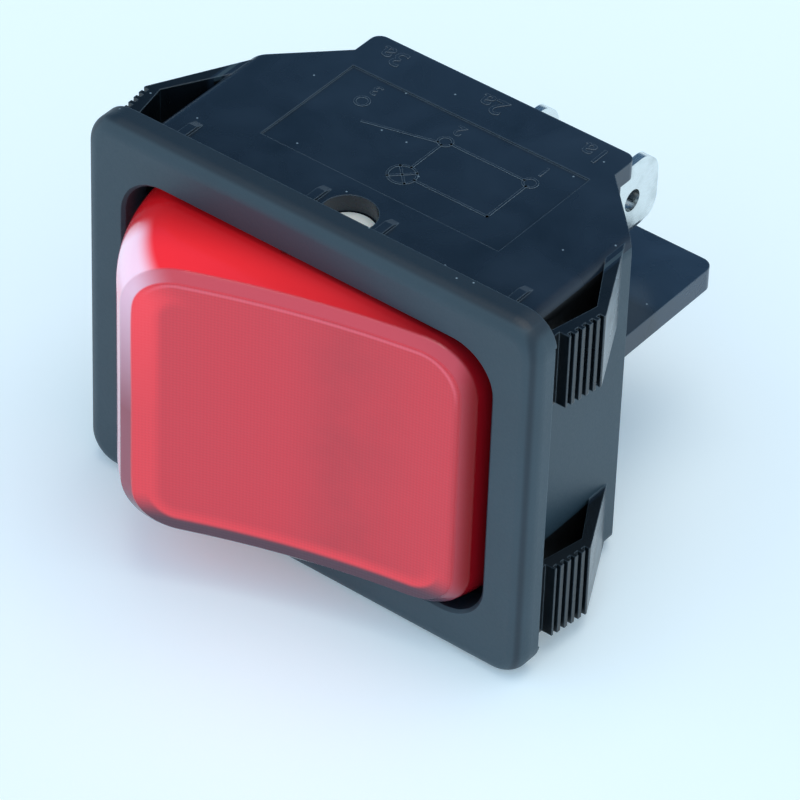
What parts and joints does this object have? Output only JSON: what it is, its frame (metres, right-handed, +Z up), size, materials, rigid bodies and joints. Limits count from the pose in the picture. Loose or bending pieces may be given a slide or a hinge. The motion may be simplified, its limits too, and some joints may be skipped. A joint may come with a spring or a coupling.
{
  "type": "panel rocker switch",
  "caption": "Rectangular snap-in panel rocker switch with a lit red rocker, black housing, three blade terminals and a barrier.",
  "frame": {"origin": "centre of the panel cut-out on the seat plane, which is the bezel's back face", "axes": "+Y into the panel, towards the terminals; +X along the long side, towards terminal 1; +Z up, across the short side"},
  "size_m": [0.0326, 0.0306, 0.0254],
  "materials": {
    "black_nylon": "fine moulded, semi-matt",
    "red_lens": "translucent, glossy sides and fine lined top",
    "white_nylon": "moulded",
    "terminal_brass": "tin plated",
    "contact_silver": "silver alloy",
    "plunger_brass": "turned",
    "spring_steel": "drawn wire",
    "lamp_glass": "clear",
    "electrode_nickel": "dull",
    "resistor_paint": "lacquered"
  },
  "bodies": {
    "switch_body": {"housing": "black_nylon", "terminal_1a": "terminal_brass", "terminal_2a": "terminal_brass", "fixed_contact_a": "contact_silver", "terminal_2b": "terminal_brass"},
    "rocker": {"rocker_lens": "red_lens", "rocker_carrier": "white_nylon", "neon_lamp": "lamp_glass", "neon_electrode_a": "electrode_nickel", "neon_electrode_b": "electrode_nickel", "lamp_resistor": "resistor_paint", "resistor_lead": "electrode_nickel", "plunger_spring_a": "spring_steel", "plunger_spring_b": "spring_steel"},
    "plunger_pin_a": {"plunger_a": "plunger_brass"},
    "seesaw_a": {"contact_arm_a": "terminal_brass", "moving_contact_a": "contact_silver"},
    "plunger_pin_b": {"plunger_b": "plunger_brass"},
    "seesaw_b": {"contact_arm_b": "terminal_brass", "moving_contact_b": "contact_silver"}
  },
  "joints": [
    {"name": "rocker_tilt", "type": "hinge", "parent": "switch_body", "child": "rocker", "pos_m": [0, 0.00205, 0], "axis": [0, 0, -1], "range_deg": [0, 32]},
    {"name": "plunger_slide_a", "type": "slide", "parent": "rocker", "child": "plunger_pin_a", "axis": [0.2756, -0.9613, 0], "range_m": [0, 0.0004], "stiffness_N_per_m": 20, "springref_m": -0.0002, "deforming": ["plunger_spring_a"]},
    {"name": "seesaw_tilt_a", "type": "hinge", "parent": "switch_body", "child": "seesaw_a", "pos_m": [0, 0.01067, 0.0056], "axis": [0, 0, -1], "range_deg": [-16, 0]},
    {"name": "plunger_slide_b", "type": "slide", "parent": "rocker", "child": "plunger_pin_b", "axis": [0.2756, -0.9613, 0], "range_m": [0, 0.0004], "stiffness_N_per_m": 20, "springref_m": -0.0002, "deforming": ["plunger_spring_b"]},
    {"name": "seesaw_tilt_b", "type": "hinge", "parent": "switch_body", "child": "seesaw_b", "pos_m": [0, 0.01067, -0.0056], "axis": [0, 0, -1], "range_deg": [-16, 0]}
  ],
  "couplings": [
    {"joint": "seesaw_tilt_a", "follows": "rocker_tilt", "ratio": -0.5},
    {"joint": "seesaw_tilt_b", "follows": "rocker_tilt", "ratio": -0.5}
  ]
}
